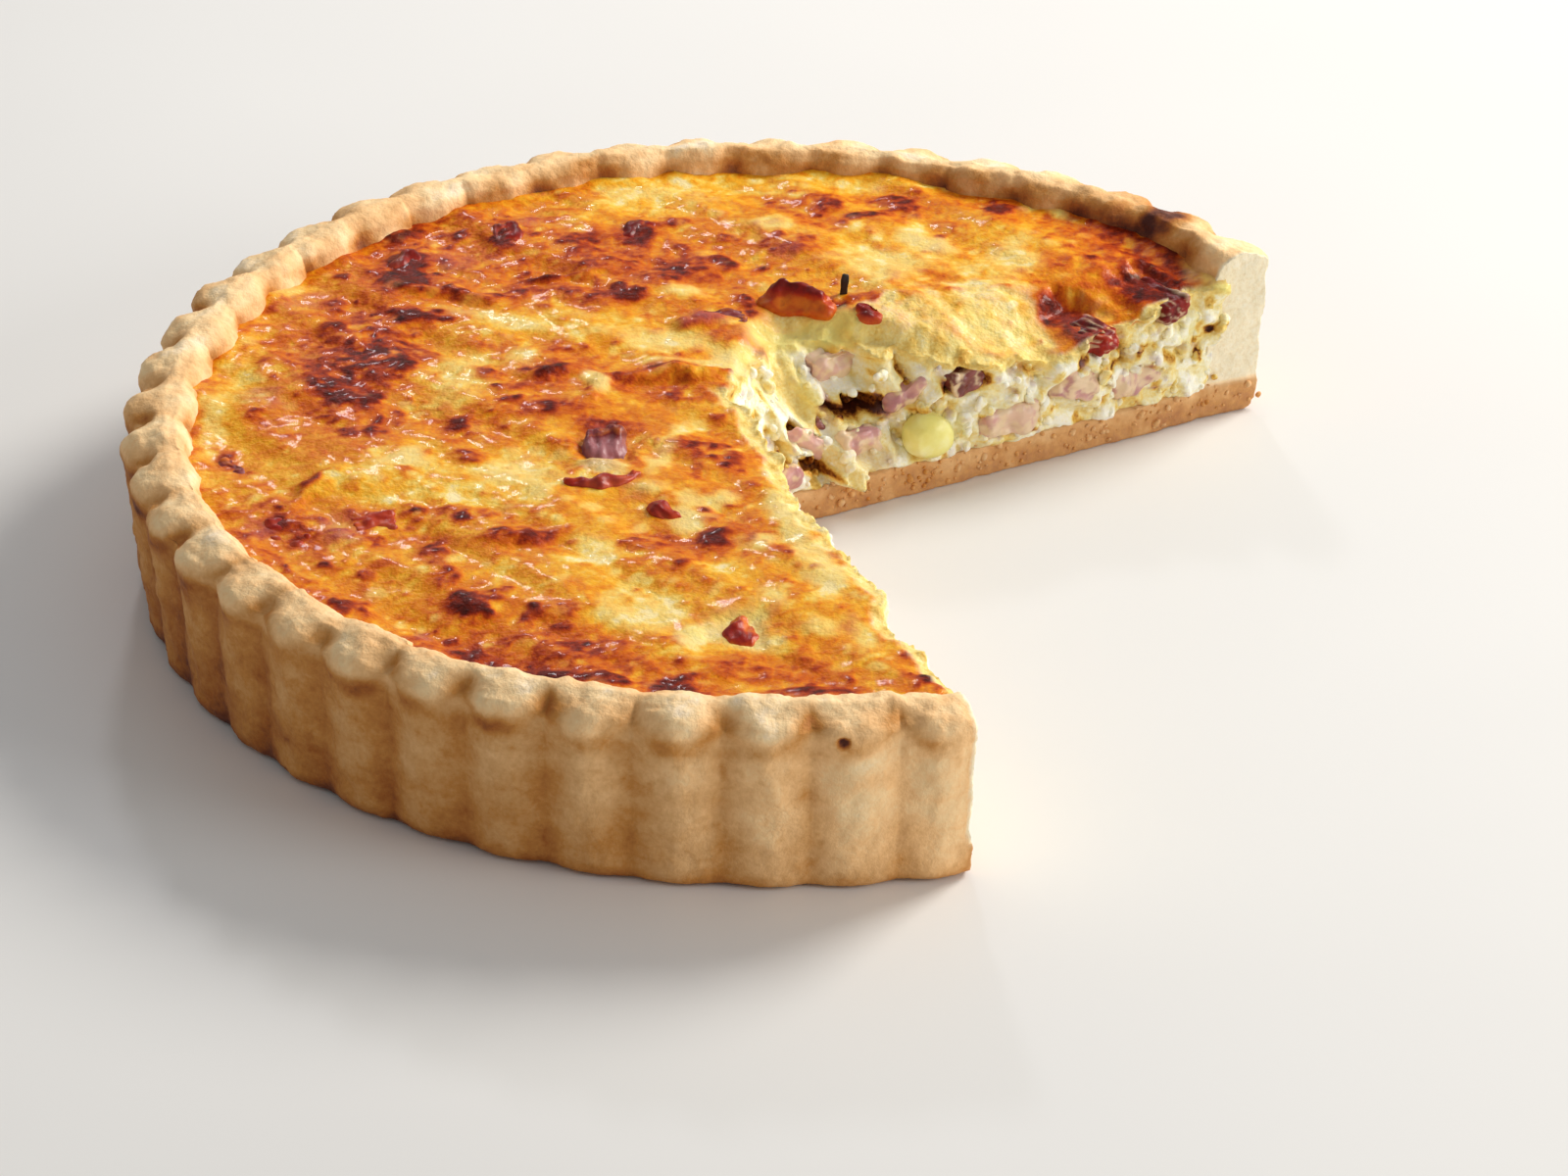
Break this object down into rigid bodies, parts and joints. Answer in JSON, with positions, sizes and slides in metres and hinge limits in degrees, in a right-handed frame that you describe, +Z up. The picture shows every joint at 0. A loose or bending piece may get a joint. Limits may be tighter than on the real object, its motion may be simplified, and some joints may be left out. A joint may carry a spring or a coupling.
{
  "type": "quiche",
  "caption": "Round fluted savoury tart with a sector cut away, standing on its flat base: shortcrust case, set egg custard, browned cheese top and diced ham.",
  "frame": {"origin": "middle of the bounding box, on the plane of the flat underside", "axes": "+Z up along the tart's own axis; +X out of the cut-away sector; the tart's axis is 10.9 mm towards +X from the origin"},
  "size_m": [0.2082, 0.23, 0.0332],
  "materials": {
    "shortcrust": "baked shortcrust pastry, dry and matt, sandy beige with browner grooves and edges",
    "custard": "set egg and cheese custard: glossy browned and blistered cheese on top, pale curdy crumb in the cut faces",
    "baked_ham": "diced cooked ham, browned and shrunk by the oven, satin",
    "moist_ham": "diced cooked ham, cut and moist, pink to mauve with paler fat",
    "cheese": "a lump of melted pale-yellow cheese, satin"
  },
  "bodies": {
    "root": {"cheese_lump_01": "cheese", "custard": "custard", "ham_far_cut_01": "moist_ham", "ham_far_cut_02": "moist_ham", "ham_far_cut_03": "moist_ham", "ham_far_cut_04": "moist_ham", "ham_far_cut_05": "moist_ham", "ham_far_cut_06": "moist_ham", "ham_far_cut_07": "moist_ham", "ham_far_cut_08": "moist_ham", "ham_far_cut_09": "moist_ham", "ham_far_cut_10": "moist_ham", "ham_near_cut_01": "moist_ham", "ham_near_cut_02": "moist_ham", "ham_near_cut_03": "moist_ham", "ham_near_cut_04": "moist_ham", "ham_near_cut_05": "moist_ham", "ham_near_cut_06": "moist_ham", "ham_near_cut_07": "moist_ham", "ham_top_01": "baked_ham", "ham_top_02": "baked_ham", "ham_top_03": "baked_ham", "ham_top_04": "baked_ham", "ham_top_05": "baked_ham", "ham_top_06": "baked_ham", "ham_top_07": "baked_ham", "ham_top_08": "baked_ham", "ham_top_09": "baked_ham", "ham_top_10": "baked_ham", "ham_top_11": "baked_ham", "ham_top_12": "baked_ham", "ham_top_13": "baked_ham", "ham_top_14": "baked_ham", "ham_top_15": "baked_ham", "pastry_case": "shortcrust"}
  },
  "joints": []
}
